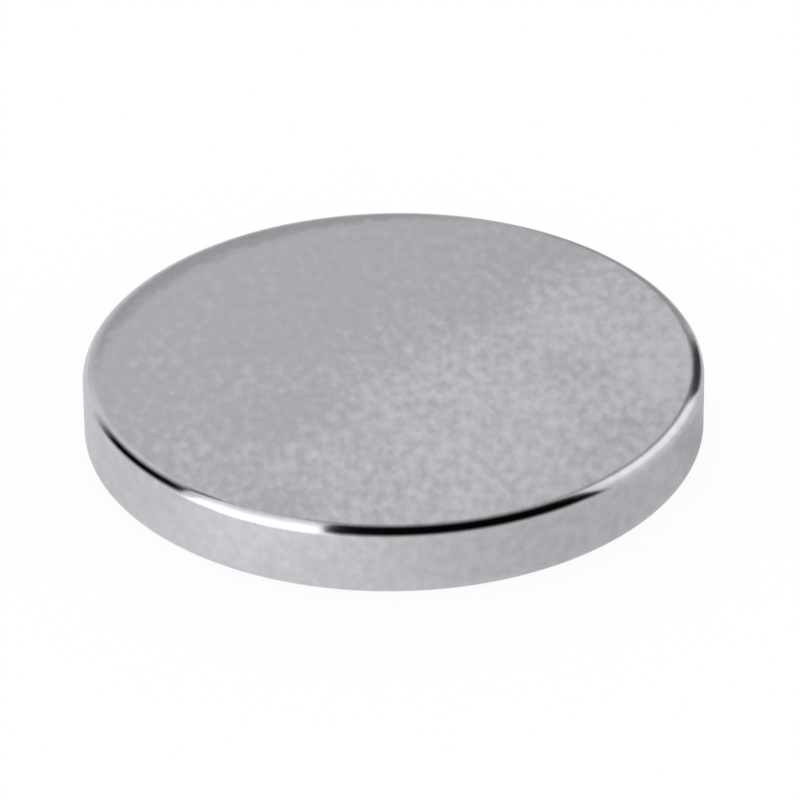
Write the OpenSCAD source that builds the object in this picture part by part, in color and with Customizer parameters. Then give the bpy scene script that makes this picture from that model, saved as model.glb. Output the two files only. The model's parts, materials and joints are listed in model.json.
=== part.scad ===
// Disc magnet: one sintered, plated disc, magnetised through its thickness.
// It lies on its lower pole face, with that face's centre at the origin and its axis along +Z.

/* [Disc] */
// Outside diameter of the disc
disc_diameter = 25; // [6:0.5:60]
// Thickness from one pole face to the other
disc_thickness = 3; // [1:0.1:20]

/* [Edge] */
// Radius that tumbling leaves on the rim of both pole faces
edge_radius = 0.4; // [0.1:0.05:1.4]

/* [Hidden] */
$fn = 180;

plating_colour = [0.70, 0.71, 0.73];

disc_radius = disc_diameter / 2;
// The straight wall between the two round edges keeps at least this share of the thickness
least_wall_share = 0.05;
edge = min(edge_radius, disc_thickness * (1 - least_wall_share) / 2);
pole_face_radius = disc_radius - edge;
wall_height = disc_thickness - 2 * edge;

// Half of the disc's cross section: X is the distance from the axis and Y is the height
module half_section() {
    // Between the pole faces, out to where the edges begin to turn
    square([pole_face_radius, disc_thickness]);
    // Out to the straight wall, between the two edges
    translate([0, edge])
        square([disc_radius, wall_height]);
    // The round edges, tangent to a pole face and to the wall
    for (height = [edge, disc_thickness - edge])
        translate([pole_face_radius, height])
            circle(edge);
}

module disc_magnet() {
    color(plating_colour)
        rotate_extrude()
            half_section();
}

disc_magnet();
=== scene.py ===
# %% [markdown]
# A plated disc magnet
#
# The object is one small disc. It is pressed and sintered from metal powder, ground flat on both
# pole faces, tumbled until its rims are round, and plated with nickel. A designer's solid of it is
# loaded here and stays fixed, and its box is kept as the measure for everything that follows.

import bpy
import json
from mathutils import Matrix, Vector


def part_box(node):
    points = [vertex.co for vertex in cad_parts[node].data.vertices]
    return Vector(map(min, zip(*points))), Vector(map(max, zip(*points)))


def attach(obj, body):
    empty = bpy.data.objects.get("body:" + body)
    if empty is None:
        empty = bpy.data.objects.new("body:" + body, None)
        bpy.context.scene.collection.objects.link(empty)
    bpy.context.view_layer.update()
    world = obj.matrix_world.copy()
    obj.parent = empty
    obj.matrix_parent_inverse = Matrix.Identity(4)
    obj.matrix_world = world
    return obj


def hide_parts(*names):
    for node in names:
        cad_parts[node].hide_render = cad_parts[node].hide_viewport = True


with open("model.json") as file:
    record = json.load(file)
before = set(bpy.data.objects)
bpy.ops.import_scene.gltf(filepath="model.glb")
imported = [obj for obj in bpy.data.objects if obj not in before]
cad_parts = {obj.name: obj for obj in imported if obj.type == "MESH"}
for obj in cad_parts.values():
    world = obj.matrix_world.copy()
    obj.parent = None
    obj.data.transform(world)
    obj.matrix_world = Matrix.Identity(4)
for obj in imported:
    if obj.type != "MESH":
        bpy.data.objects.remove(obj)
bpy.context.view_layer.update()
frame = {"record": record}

# %% [markdown]
# The sizes are read from the solid, not typed in again. The box gives the diameter and the
# thickness. The record says how high the straight wall between the two round edges is, so half of
# what is left of the thickness is the radius that tumbling gave the edges.

# %% Read the sizes
import json
import math

import bmesh
import bpy
from mathutils import Quaternion, Vector

MILLIMETRE = 0.001

lowest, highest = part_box("disc_magnet")
disc_centre = (lowest + highest) / 2
disc_radius = (highest.x - lowest.x) / 2
disc_thickness = highest.z - lowest.z
rim_mount = next(mount for mount in frame["record"]["mounts"] if mount["name"] == "rim")
wall_height = rim_mount["dims"]["length_mm"] * MILLIMETRE
edge_radius = (disc_thickness - wall_height) / 2
face_radius = disc_radius - edge_radius
print(f"disc {2 * disc_radius / MILLIMETRE:.2f} by {disc_thickness / MILLIMETRE:.2f} mm,"
      f" edges {edge_radius / MILLIMETRE:.2f} mm")

# %% [markdown]
# The camera stands where the photographer's did. A round disc seen from above looks like an
# ellipse, and how flat that ellipse is tells how high the lens was: a little over thirty degrees.
# Its two ends are almost the same size, so the lens was long and far away. The camera could be
# aimed with a lens shift, but stepping it sideways by the measured pixels keeps the shift at zero.

# %% Place the camera
PHOTO_WIDTH_PX = 800
DISC_CENTRE_PX = Vector((393.7, 394.8))
DISC_RADIUS_PX = 309.9
CAMERA_RISE = math.radians(31.55)
CAMERA_LEAN = math.radians(0.73)
CAMERA_DISTANCE_IN_RADII = 20
SENSOR_WIDTH_MM = 36

metres_per_px = disc_radius / DISC_RADIUS_PX
camera_distance = CAMERA_DISTANCE_IN_RADII * disc_radius
photo_centre_px = Vector((PHOTO_WIDTH_PX / 2, PHOTO_WIDTH_PX / 2))

towards_camera = Vector((0, -math.cos(CAMERA_RISE), math.sin(CAMERA_RISE)))
level_turn = (-towards_camera).to_track_quat("-Z", "Y")
camera_turn = level_turn @ Quaternion((0, 0, 1), -CAMERA_LEAN)
step_px = photo_centre_px - DISC_CENTRE_PX
side_step = camera_turn @ Vector((step_px.x, -step_px.y, 0)) * metres_per_px

camera_data = bpy.data.cameras.new("photo_camera")
camera_data.sensor_width = SENSOR_WIDTH_MM
camera_data.lens = SENSOR_WIDTH_MM * camera_distance / (PHOTO_WIDTH_PX * metres_per_px)
camera = bpy.data.objects.new("photo_camera", camera_data)
camera.rotation_mode = "QUATERNION"
camera.rotation_quaternion = camera_turn
camera.location = disc_centre + towards_camera * camera_distance + side_step
bpy.context.scene.collection.objects.link(camera)
bpy.context.scene.camera = camera
bpy.context.scene.view_settings.view_transform = "Standard"
print(f"camera: {camera_data.lens:.0f} mm lens, {camera_distance / MILLIMETRE:.0f} mm away")

# %% [markdown]
# The disc is a body of revolution, so half of its section is all there is to draw. A cylinder with
# a bevel would come close, but its edge would be only as round as the bevel's segments, and its
# flat faces would share their shading with it. Here the section is written out: flat face, round
# edge, straight wall, round edge, flat face. Grit rolls a little further over the face than down
# the wall, so each edge is a quarter of a slightly flattened ring, a few hundredths of a
# millimetre off the solid's circle. A guard ring lies just before each place where flat turns
# into round, so that smooth shading can't bleed over the flat side.

# %% Draw half of the section
EDGE_FLATS = 20
FACE_RINGS = 5
GUARD_SHARE = 0.06
ROLL_SHARE = 1.45
QUARTER_TURN = math.tau / 4

roll_reach = ROLL_SHARE * edge_radius
flat_radius = disc_radius - roll_reach
guard = GUARD_SHARE * edge_radius
bottom = lowest.z
upper_round = highest.z - edge_radius
lower_round = bottom + edge_radius


def quarter_round(centre_height, first_angle):
    """Section points along one edge, a quarter turn down from the first angle."""
    points = []
    for flat in range(EDGE_FLATS + 1):
        angle = first_angle - QUARTER_TURN * flat / EDGE_FLATS
        radius = flat_radius + roll_reach * math.cos(angle)
        points.append((radius, centre_height + edge_radius * math.sin(angle)))
    return points


ring_radii = [(flat_radius - guard) * ring / FACE_RINGS for ring in range(FACE_RINGS + 1)]
half_section = [(radius, highest.z) for radius in ring_radii]
half_section += quarter_round(upper_round, QUARTER_TURN)
half_section += [(disc_radius, upper_round - guard), (disc_radius, lower_round + guard)]
half_section += quarter_round(lower_round, 0)
half_section += [(radius, bottom) for radius in reversed(ring_radii)]
print(f"half section: {len(half_section)} points, flat out to {flat_radius / MILLIMETRE:.2f} mm")

# %% [markdown]
# Spinning that line once round the axis makes the disc. Four hundred steps leave flats of a fifth
# of a millimetre, and the outline stays round at any distance. The spun points that all fall on
# the axis are welded into one, so each pole face closes as a fan and the mesh has no loose face.

# %% Spin the disc
SPIN_STEPS = 400
WELD_SHARE = 0.001

lathe = bmesh.new()
chain = [lathe.verts.new((radius, 0, height)) for radius, height in half_section]
links = [lathe.edges.new(pair) for pair in zip(chain, chain[1:])]
bmesh.ops.spin(
    lathe,
    geom=chain + links,
    cent=(disc_centre.x, disc_centre.y, 0),
    axis=(0, 0, 1),
    angle=math.tau,
    steps=SPIN_STEPS,
    use_merge=True,
)
bmesh.ops.remove_doubles(lathe, verts=lathe.verts, dist=WELD_SHARE * edge_radius)
bmesh.ops.recalc_face_normals(lathe, faces=lathe.faces)
for face in lathe.faces:
    face.smooth = True
disc_mesh = bpy.data.meshes.new("plated_disc")
lathe.to_mesh(disc_mesh)
open_edges = sum(not edge.is_manifold for edge in lathe.edges)
lathe.free()

plated_disc = bpy.data.objects.new("plated_disc", disc_mesh)
bpy.context.scene.collection.objects.link(plated_disc)
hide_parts("disc_magnet")
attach(plated_disc, "root")
print(f"disc: {len(disc_mesh.polygons)} faces, {open_edges} open edges")

# %% [markdown]
# Finishes are sums of patterns, and sums are easiest to read as sums. The class below wraps one
# output of a shader node, so that a plus sign between two of them adds a Math node that does the
# addition. Directions are sent through Vector Math instead, and colours through a Mix node,
# because a Math node would turn them into one grey number. Every other node comes from the one
# node method, also in the four small helpers that follow the class.

# %% A wire that can be reckoned with


class Wire:
    """One output of a shader node. Arithmetic on it adds the nodes that work the sum out."""

    def __init__(self, socket):
        self.socket = socket

    @classmethod
    def node(cls, tree, kind, settings, sockets, output=None):
        """Adds a node: its settings first, then the values or wires of its sockets."""
        made = tree.nodes.new(kind)
        for name, setting in settings.items():
            setattr(made, name, setting)
        for name, filling in sockets.items():
            socket = cls.pick(made.inputs, name)
            if isinstance(filling, cls):
                tree.links.new(filling.socket, socket)
            else:
                socket.default_value = filling
        return cls(cls.pick(made.outputs, output)) if made.outputs else None

    @staticmethod
    def pick(sockets, name):
        """A socket by its number, or the first one in use that has this name, or any name."""
        if isinstance(name, int):
            return sockets[name]
        return next(socket for socket in sockets if socket.enabled and name in (None, socket.name))

    def sibling(self, name):
        """Another output of the same node."""
        return Wire(self.socket.node.outputs[name])

    def reckon(self, operation, *terms):
        """One operation on the terms, by Vector Math if a direction is among them."""
        kinds = [term.socket.type for term in terms if isinstance(term, Wire)]
        kind = "ShaderNodeVectorMath" if "VECTOR" in kinds else "ShaderNodeMath"
        sockets = dict(enumerate(terms))
        return Wire.node(self.socket.id_data, kind, {"operation": operation}, sockets)

    def __add__(self, other):
        return self.reckon("ADD", self, other)

    def __radd__(self, other):
        return self.reckon("ADD", other, self)

    def __sub__(self, other):
        return self.reckon("SUBTRACT", self, other)

    def __rsub__(self, other):
        return self.reckon("SUBTRACT", other, self)

    def __mul__(self, other):
        return self.reckon("MULTIPLY", self, other)

    def __rmul__(self, other):
        return self.reckon("MULTIPLY", other, self)

    def __abs__(self):
        return self.reckon("ABSOLUTE", self)


print("wire: +, -, * and abs")

# %% Four helpers


def fade(wire, start, end):
    """0 up to the start, 1 past the end, and a smooth rise between them."""
    settings = {"interpolation_type": "SMOOTHSTEP"}
    sockets = {"Value": wire, "From Min": start, "From Max": end}
    return Wire.node(wire.socket.id_data, "ShaderNodeMapRange", settings, sockets)


def distance(place, point):
    """How far a place lies from a fixed point, in metres."""
    tree = place.socket.id_data
    sockets = {0: place, 1: point}
    return Wire.node(tree, "ShaderNodeVectorMath", {"operation": "DISTANCE"}, sockets, "Value")


def patch(place, centre, core, reach):
    """1 in the core round a centre, 0 outside the reach, and a smooth fall between them."""
    return 1 - fade(distance(place, centre), core, reach)


def blend(mask, first, second):
    """The first colour where the mask is 0, the second where it is 1, and so on past 1."""
    settings = {"data_type": "RGBA", "clamp_factor": False}
    sockets = {"Factor": mask, "A": first, "B": second}
    return Wire.node(mask.socket.id_data, "ShaderNodeMix", settings, sockets)


print("helpers:", [helper.__name__ for helper in (fade, distance, patch, blend)])

# %% [markdown]
# Tumbling works hardest on the edges. The grit rubs the round rims bright, while the ground faces
# keep a satin skin and the wall, which nothing has ground, a slightly duller one. So the plating is
# one material with three degrees of polish. Where each belongs follows from the shape: a point lies
# on an edge if it is further out than the flat face and also higher or lower than the wall. Object
# coordinates give both distances in metres. Neither border is sharp: the polish comes in from where
# the face begins to roll off, and it is gone a fifth of a millimetre down the wall.

# %% Find the edges and the wall
POLISH_START = -0.18 * MILLIMETRE
POLISH_END = 0.12 * MILLIMETRE
WALL_POLISH_START = -0.2 * MILLIMETRE
WALL_POLISH_END = 0.28 * MILLIMETRE
LEVEL_SHARES = (1, 1, 0)

plating = bpy.data.materials.new("nickel_plating")
plating.use_nodes = True
plating_tree = plating.node_tree
plating_tree.nodes.clear()

place = Wire.node(plating_tree, "ShaderNodeTexCoord", {}, {}, "Object")
level_place = place * LEVEL_SHARES
along_x = Wire.node(plating_tree, "ShaderNodeSeparateXYZ", {}, {"Vector": place})
along_y = along_x.sibling("Y")
height_from_middle = abs(along_x.sibling("Z") - disc_centre.z)

axis_distance = distance(level_place, (disc_centre.x, disc_centre.y, 0))
past_face = fade(axis_distance, face_radius + POLISH_START, face_radius + POLISH_END)
wall_end = wall_height / 2
past_wall = fade(height_from_middle, wall_end + WALL_POLISH_START, wall_end + WALL_POLISH_END)
edge_mask = past_face * past_wall
wall_mask = past_face * (1 - past_wall)
print(f"edge and wall masks: fade over {(POLISH_END - POLISH_START) / MILLIMETRE:.2f} mm")

# %% [markdown]
# The skin has two tones. Where the wheel ground it well it is pale, and where it only skimmed the
# sintered grain it stays darker. Towards one side of the disc nearly all of it is pale with dark
# specks, towards the other it is dark with a few pale ones. A painted picture of that would fit one
# face only, so it is a field instead. The field rises gently across the disc and steeply at a
# border, clouds bend the border, and wherever the wheel bit less or more a wide soft spot lowers or
# raises it. Grain then breaks it up into specks, and a smooth threshold turns the sum into tone.

# %% Grind the two tones
GRAIN_SIZE = 0.43 * MILLIMETRE
CLOUD_SIZE = 3.5 * MILLIMETRE
GRAIN_STRETCH = 1.7
GRAIN_DETAIL = 1.0
GRAIN_FINENESS = 0.55
CLOUD_DETAIL = 2.0
CLOUD_FINENESS = 0.5
MEAN_NOISE = 0.5

ground_place = place * (1, 1 / GRAIN_STRETCH, 1)


def noise(size, detail, fineness):
    """A cloudy pattern about 0 whose spots are about this size, longer along the grinding."""
    sockets = {"Vector": ground_place, "Scale": 1 / size, "Detail": detail, "Roughness": fineness}
    return Wire.node(plating_tree, "ShaderNodeTexNoise", {}, sockets) - MEAN_NOISE


grain = noise(GRAIN_SIZE, GRAIN_DETAIL, GRAIN_FINENESS)
cloud = noise(CLOUD_SIZE, CLOUD_DETAIL, CLOUD_FINENESS)
print(f"patterns: {GRAIN_SIZE / MILLIMETRE:.2f} mm grain, {CLOUD_SIZE / MILLIMETRE:.1f} mm clouds")

# %% Add the tones up
PALE_SIDE = Vector((0.76, -0.65, 0))
SLOPE_START = -8.5 * MILLIMETRE
SLOPE_END = 1 * MILLIMETRE
SLOPE_RISE = 0.37
BORDER_START = -1 * MILLIMETRE
BORDER_END = 2.4 * MILLIMETRE
BORDER_RISE = 0.51
CLOUD_SWING = 0.9
GRAIN_SWING = 1.75
TONE_START = 0.0
TONE_END = 1.6
# Of each wheel spot: x, y and reach in millimetres, and how far it lowers or raises the field.
WHEEL_SPOTS = (
    (7.2, -0.6, 2.4, -0.3),
    (9.3, -5.3, 2.2, -0.22),
    (11.3, -0.5, 5, 0.4),
    (5, -2.8, 2.6, 0.2),
    (-1, -2.2, 2.4, 0.18),
    (-0.5, -8, 4.5, -0.14),
    (-4.6, -10.4, 2.2, -0.6),
    (-5, -9.4, 4, -0.4),
    (-3.8, -4.6, 4, -0.3),
    (-8, -6.6, 3, 0.28),
    (0.5, 8.5, 7, -0.22),
    (7, 8.7, 2.2, -0.25),
)

across = along_x * PALE_SIDE.x + along_y * PALE_SIDE.y
field = fade(across, SLOPE_START, SLOPE_END) * SLOPE_RISE + cloud * CLOUD_SWING
field = field + fade(across, BORDER_START, BORDER_END) * BORDER_RISE
for spot_x, spot_y, spot_reach, change in WHEEL_SPOTS:
    spot_centre = Vector((spot_x, spot_y, 0)) * MILLIMETRE
    field = field + patch(level_place, spot_centre, 0.0, spot_reach * MILLIMETRE) * change
tone = fade(field + grain * GRAIN_SWING, TONE_START, TONE_END)
print(f"tones: a slope, a border and {len(WHEEL_SPOTS)} wheel spots")

# %% [markdown]
# Polished metal has no colour but the share of light that it mirrors, so the base colour is that
# share. The record's cool grey is how the disc looks, and what it mirrors is on the whole a tenth
# darker than white, so the grey is divided by the level of the surroundings. The dark tone lies a
# tenth below that and the pale tone a fifth above it. Along the rim behind, a ragged strip is
# painted darker still: painted shade that stands in for the darker surroundings which the rim
# mirrors there. It is all of the face that lies outside a circle set off a little to the front. The
# wall is slightly paler, and it shows the two tones more faintly.

# %% Mix the colour
DARK_SHADE = 0.905
PALE_SHADE = 1.22
GRAIN_SHADE = 0.16
WALL_SHADE = 1.05
WALL_TONES = 0.35
MIDDLE_TONE = 0.5
# painted shade: the next five numbers place and deepen a darker strip along the back rim
RIM_SHADE_SHIFT = Vector((1.55, -2.1, 0)) * MILLIMETRE
RIM_SHADE_MARGIN = 1.85 * MILLIMETRE
RIM_SHADE_SPREAD = 0.35 * MILLIMETRE
RIM_SHADE_WANDER = 1.3 * MILLIMETRE
RIM_SHADE_DEPTH = 0.24
SURROUNDINGS = 0.905
BLACK = (0, 0, 0, 1)

finishes = frame["record"]["materials"]
record_finish = next(finish for finish in finishes if finish["slot"] == "nickel_plating")
plating_colour = Vector(record_finish["base_color"]) / SURROUNDINGS
# painted shade: a ragged strip along the back rim is darkened in the colour, standing in for a darker
# reflection there
rim_shade_distance = distance(level_place, RIM_SHADE_SHIFT) + grain * RIM_SHADE_WANDER
rim_shade_radius = flat_radius + RIM_SHADE_MARGIN
rim_shade = fade(rim_shade_distance, rim_shade_radius - RIM_SHADE_SPREAD, rim_shade_radius + RIM_SHADE_SPREAD) * (1 - past_face)
faint_tone = tone + past_face * (MIDDLE_TONE - tone) * (1 - WALL_TONES)
shade = DARK_SHADE + faint_tone * (PALE_SHADE - DARK_SHADE)
shade = shade + grain * GRAIN_SHADE - rim_shade * RIM_SHADE_DEPTH
shade = shade * (1 + wall_mask * (WALL_SHADE - 1))
shown_colour = blend(shade, BLACK, (*plating_colour, 1))
print("plating colour:", [round(share, 3) for share in plating_colour])

# %% [markdown]
# Now the skin itself. How sharply it mirrors is its roughness, lowest on the tumbled edges and
# highest on the wall. A very low bump lets it ripple like real plating, which is never as flat as
# glass. Real waves in the mesh would do the same at many times the number of faces.

# %% Mix the plating
SATIN_ROUGHNESS = 0.3
WALL_ROUGHNESS = 0.52
EDGE_ROUGHNESS = 0.09
RIPPLE_SIZE = 0.5 * MILLIMETRE
RIPPLE_HEIGHT = 0.0006 * MILLIMETRE
RIPPLE_DETAIL = 2.0

roughness = SATIN_ROUGHNESS + edge_mask * (EDGE_ROUGHNESS - SATIN_ROUGHNESS)
roughness = roughness + wall_mask * (WALL_ROUGHNESS - SATIN_ROUGHNESS)
ripple_pattern = noise(RIPPLE_SIZE, RIPPLE_DETAIL, CLOUD_FINENESS)
ripple_sockets = {"Distance": RIPPLE_HEIGHT, "Height": ripple_pattern}
ripple = Wire.node(plating_tree, "ShaderNodeBump", {}, ripple_sockets)
plating_sockets = {
    "Base Color": shown_colour,
    "Metallic": 1.0,
    "Roughness": roughness,
    "Normal": ripple,
}
plating_shader = Wire.node(plating_tree, "ShaderNodeBsdfPrincipled", {}, plating_sockets)
Wire.node(plating_tree, "ShaderNodeOutputMaterial", {}, {"Surface": plating_shader})
disc_mesh.materials.append(plating)
print(f"plating: {len(plating_tree.nodes)} nodes on {plated_disc.name}")

# %% [markdown]
# The disc lies on a pale table that fades into a white room. A plain white table would turn grey
# wherever the light doesn't reach, so most of what the eye and the metal see of it is a glow of
# strength 1. The rest is lit in the ordinary way and carries the shadow, and close to the disc the
# eye sees more of that part. A large flat plate is all the shape that it needs.

# %% Lay the floor
TENT_REACH = 36 * disc_radius
FLOOR_REACH = 2 * TENT_REACH
FLOOR_SIDES = 48
FLOOR_GAP = 0.01 * MILLIMETRE

floor_shape = bmesh.new()
bmesh.ops.create_circle(floor_shape, cap_ends=True, segments=FLOOR_SIDES, radius=FLOOR_REACH)
floor_mesh = bpy.data.meshes.new("floor")
floor_shape.to_mesh(floor_mesh)
floor_shape.free()
floor = bpy.data.objects.new("floor", floor_mesh)
floor.location = (disc_centre.x, disc_centre.y, lowest.z - FLOOR_GAP)
bpy.context.scene.collection.objects.link(floor)
print(f"floor: {2 * FLOOR_REACH:.1f} m across")

# %% [markdown]
# The wall of the disc mirrors the table softly, so the table is more than white to it. Painted shade
# and light are laid into the glow that the metal sees: towards the right, and a little at the far
# left, painted shade makes the table greyer, close by on the right a painted shadow patch darkens it,
# and in front on the left a painted pool of light gives it a bright sheen. Only rays that leave the
# metal find these levels. To the eye the table stays white.

# %% Shade the table for the metal
# painted shade and light on the table, for the metal only: greyer sides, a shadow patch and a sheen
RIGHT_SHADE_LEVEL = 0.73
RIGHT_START = -8.5 * MILLIMETRE
RIGHT_END = 9 * MILLIMETRE
LEFT_SHADE_LEVEL = 0.92
LEFT_START = -8 * MILLIMETRE
LEFT_END = -14 * MILLIMETRE
SHEEN_CENTRE = Vector((-19.5, -25, 0)) * MILLIMETRE
SHEEN_CORE = 6 * MILLIMETRE
SHEEN_REACH = 12.5 * MILLIMETRE
SHEEN_LEVEL = 2.4
# a painted shadow patch on the table, close by on the right of the disc
SHADOW_PATCH_CENTRE = Vector((14.2, -2.1, 0)) * MILLIMETRE
SHADOW_PATCH_CORE = 0.4 * MILLIMETRE
SHADOW_PATCH_REACH = 2.7 * MILLIMETRE
SHADOW_PATCH_DEPTH = 0.28

floor_material = bpy.data.materials.new("pale_table")
floor_material.use_nodes = True
floor_material.cycles.emission_sampling = "NONE"
floor_tree = floor_material.node_tree
floor_tree.nodes.clear()

floor_place = Wire.node(floor_tree, "ShaderNodeTexCoord", {}, {}, "Object")
floor_x = Wire.node(floor_tree, "ShaderNodeSeparateXYZ", {}, {"Vector": floor_place})
eye_ray = Wire.node(floor_tree, "ShaderNodeLightPath", {}, {}, "Is Camera Ray")
mirror_ray = eye_ray.sibling("Is Glossy Ray") + eye_ray.sibling("Is Transmission Ray")
# painted shade on the table for the metal: greyer towards the right and at the far left, and a painted
# shadow patch beside the disc
painted_table_shade = fade(floor_x, RIGHT_START, RIGHT_END) * (1 - RIGHT_SHADE_LEVEL)
painted_table_shade = painted_table_shade + fade(floor_x, LEFT_START, LEFT_END) * (1 - LEFT_SHADE_LEVEL)
painted_table_shade = painted_table_shade + patch(floor_place, SHADOW_PATCH_CENTRE, SHADOW_PATCH_CORE, SHADOW_PATCH_REACH) * SHADOW_PATCH_DEPTH
# painted light on the table for the metal: a bright sheen in front on the left
painted_sheen = patch(floor_place, SHEEN_CENTRE, SHEEN_CORE, SHEEN_REACH) * (SHEEN_LEVEL - 1)
glow_level = 1 + mirror_ray * (painted_sheen - painted_table_shade)
print(f"table in the metal: {RIGHT_SHADE_LEVEL} at the right, {SHEEN_LEVEL} in the sheen")

# %% Paint the table
FLOOR_COLOUR = (0.9, 0.9, 0.9, 1)
WHITE = (1, 1, 1, 1)
FLOOR_MIDDLE = Vector((0, 0, 0))
EYE_GLOW_NEAR = 0.93
MIRROR_GLOW = 0.96
GLOW_FAR = 0.995
GLOW_SPREAD = 0.9 * disc_radius

away = fade(distance(floor_place, FLOOR_MIDDLE), disc_radius, disc_radius + GLOW_SPREAD)
eye_glow = EYE_GLOW_NEAR + away * (GLOW_FAR - EYE_GLOW_NEAR)
glow_share = eye_ray * eye_glow + mirror_ray * MIRROR_GLOW
lit_floor = Wire.node(floor_tree, "ShaderNodeBsdfDiffuse", {}, {"Color": FLOOR_COLOUR})
glow_sockets = {"Color": WHITE, "Strength": glow_level}
glow_floor = Wire.node(floor_tree, "ShaderNodeEmission", {}, glow_sockets)
floor_sockets = {0: glow_share, 1: lit_floor, 2: glow_floor}
floor_shader = Wire.node(floor_tree, "ShaderNodeMixShader", {}, floor_sockets)
Wire.node(floor_tree, "ShaderNodeOutputMaterial", {}, {"Surface": floor_shader})
floor_mesh.materials.append(floor_material)
print(f"table: {len(floor_tree.nodes)} nodes")

# %% [markdown]
# Polished metal shows its surroundings, so the picture of it is made by what stands around it. A
# photographer hangs white cloth round such a part and pins black cloth beside it: the white draws
# the bright lines on the edge and the black draws the dark ones. Each panel here is placed by the
# stretch of edge in which the camera is to see it: how far round the disc, from the camera's side
# towards the right, and how far the edge leans there, from 0 on the wall to 90 on the pole face.
# The law of mirrors then says where the cloth has to hang.

# %% Find a place by its reflection


def towards(azimuth, rise):
    """The direction away from the disc at an azimuth and a rise above level, in degrees."""
    turn = math.radians(azimuth)
    lift = math.radians(rise)
    level = math.cos(lift)
    return Vector((math.sin(turn) * level, -math.cos(turn) * level, math.sin(lift)))


def mirrored(azimuth, lean):
    """Where the camera looks to by way of the edge at this azimuth, where it leans so far."""
    outward = towards(azimuth, lean)
    return 2 * outward.dot(towards_camera) * outward - towards_camera


straight_up_lean = math.degrees(QUARTER_TURN + CAMERA_RISE) / 2
print(f"in front, straight up is seen where the edge leans {straight_up_lean:.1f} degrees")

# %% [markdown]
# A cloth glows evenly, or it is black. A sharp border would draw a sharp end on the metal, so all
# borders are thin gauze, which lets more and more of the room through. The metal alone sees the
# cloth: it hides nothing from the eye, and the plain light passes through it.

# %% Weave a cloth
BLACK_CLOTH = (0.002, 0.002, 0.002, 1)


def weave(name, glow, gauze):
    """Cloth that glows, or black cloth if the glow is 0. Gauze: its left, right, low, top border."""
    cloth = bpy.data.materials.new(name)
    cloth.use_nodes = True
    tree = cloth.node_tree
    tree.nodes.clear()
    place_on_sheet = Wire.node(tree, "ShaderNodeTexCoord", {}, {}, "UV")
    across_sheet = Wire.node(tree, "ShaderNodeSeparateXYZ", {}, {"Vector": place_on_sheet})
    up_sheet = across_sheet.sibling("Y")
    left, right, low, top = gauze
    cover = fade(across_sheet, 0.0, left) * fade(1 - across_sheet, 0.0, right)
    cover = cover * fade(up_sheet, 0.0, low) * fade(1 - up_sheet, 0.0, top)
    clear = Wire.node(tree, "ShaderNodeBsdfTransparent", {}, {})
    if glow:
        thread = Wire.node(tree, "ShaderNodeEmission", {}, {"Color": WHITE, "Strength": glow})
    else:
        thread = Wire.node(tree, "ShaderNodeBsdfDiffuse", {}, {"Color": BLACK_CLOTH})
    shader = Wire.node(tree, "ShaderNodeMixShader", {}, {0: cover, 1: clear, 2: thread})
    Wire.node(tree, "ShaderNodeOutputMaterial", {}, {"Surface": shader})
    return cloth


print(f"black cloth: level {BLACK_CLOTH[0]}")

# %% Hang a cloth
SHEET_STEPS = 12
HALF_SHEET = 0.5


def hang(name, corners, cloth, reach):
    """A sheet that the camera sees between four corners of the edge, each an azimuth and a lean."""
    low_left, low_right, top_right, top_left = [Vector(corner) for corner in corners]
    shape = bmesh.new()
    shape.loops.layers.uv.new("sheet")
    steps = {"x_segments": SHEET_STEPS, "y_segments": SHEET_STEPS}
    bmesh.ops.create_grid(shape, size=HALF_SHEET, calc_uvs=True, **steps)
    for vert in shape.verts:
        across_share = vert.co.x + HALF_SHEET
        up_share = vert.co.y + HALF_SHEET
        low = low_left.lerp(low_right, across_share)
        top = top_left.lerp(top_right, across_share)
        azimuth, lean = low.lerp(top, up_share)
        vert.co = disc_centre + reach * mirrored(azimuth, lean)
    mesh = bpy.data.meshes.new(name)
    shape.to_mesh(mesh)
    shape.free()
    mesh.materials.append(cloth)
    sheet = bpy.data.objects.new(name, mesh)
    sheet.visible_camera = False
    sheet.visible_diffuse = False
    bpy.context.scene.collection.objects.link(sheet)


print(f"sheets: {SHEET_STEPS} by {SHEET_STEPS} steps")

# %% [markdown]
# Eleven cloths make the picture. Each row gives a cloth's name, the four corners of its reflection
# from low left round to top left, its glow, and its gauze at the left, right, low and top border as
# shares of the sheet. A later cloth hangs nearer to the disc, so it covers an earlier one.

# %% Hang the panels
LAYER_STEP = 0.01

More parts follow.
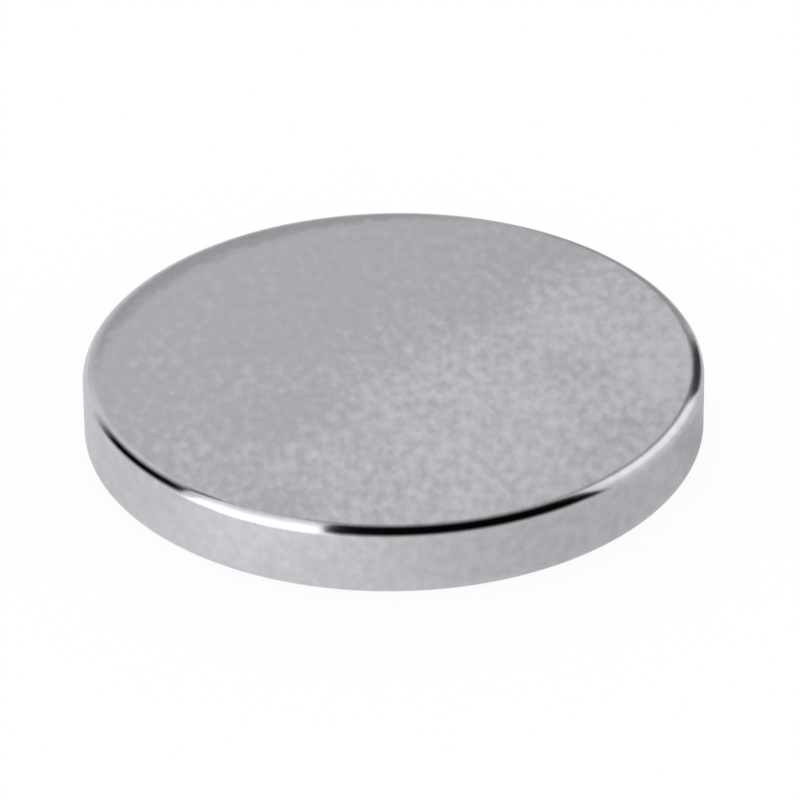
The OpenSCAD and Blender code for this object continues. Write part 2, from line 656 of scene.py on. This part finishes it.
panels = (
    ("horizon_grey", ((95, 45), (284, 55), (284, 89), (95, 89)), 0.82, (0.06, 0.06, 0.15, 0.1)),
    ("right_grey", ((36, 0), (90, 0), (82, 54), (36, 54)), 0.85, (0.08, 0.1, 0.01, 0.2)),
    ("left_white", ((-43, 2), (-12.5, 4), (-14, 80), (-38, 74)), 2.3, (0.06, 0.02, 0.3, 0.6)),
    ("front_black", ((-13, 6), (44.5, 11), (36, 89.5), (-13.5, 96.5)), 0, (0.01, 0.02, 0.4, 0.34)),
    ("front_tail", ((-21, 78), (-12, 72), (-12, 89), (-21, 85)), 0.1, (0.4, 0.02, 0.3, 0.3)),
    ("left_black", ((-77.5, 33.5), (-42.5, 24), (-41, 79), (-76.5, 74.5)), 0, (0.38, 0.03, 0.44, 0.42)),
    ("left_tail", ((-44, 60), (-33, 74), (-33, 82), (-44, 76)), 0.2, (0.05, 0.4, 0.2, 0.2)),
    ("right_white", ((40.5, 36), (80, 38), (74, 77), (30, 77)), 1.35, (0.4, 0.08, 0.6, 0.3)),
    ("right_black", ((81, 30), (102, 30), (104, 84), (72, 86)), 0.06, (0.06, 0.45, 0.5, 0.16)),
    ("right_tail", ((96, 40), (165, 66), (165, 86), (96, 86)), 0.45, (0.1, 0.6, 0.2, 0.2)),
    ("right_line", ((34, 70), (76, 70), (76, 87), (34, 87)), 0.5, (0.15, 0.05, 0.4, 0.25)),
)
for layer, (name, corners, glow, gauze) in enumerate(panels):
    hang(name, corners, weave(name, glow, gauze), TENT_REACH * (1 - layer * LAYER_STEP))
print(f"panels: {len(panels)}, {TENT_REACH:.2f} m away")

# %% [markdown]
# Between the panels one looks out into a white room. It glows evenly at strength 1, so the eye and
# the metal see it as white, and a plain grey card laid in the disc's place would show about the
# grey that it is painted with. Its light could be sought by aimed rays, but the cloth would stop
# them. Rays that only bounce into the room pass the cloth, unless they come from the metal.

# %% Paint the room
ROOM_LEVEL = 1.0

room = bpy.data.worlds.new("white_room")
room.use_nodes = True
room.cycles.sampling_method = "NONE"
room_tree = room.node_tree
room_tree.nodes.clear()
room_sockets = {"Color": WHITE, "Strength": ROOM_LEVEL}
room_shader = Wire.node(room_tree, "ShaderNodeBackground", {}, room_sockets)
Wire.node(room_tree, "ShaderNodeOutputWorld", {}, {"Surface": room_shader})
bpy.context.scene.world = room
print(f"room: white all round, at strength {ROOM_LEVEL}")
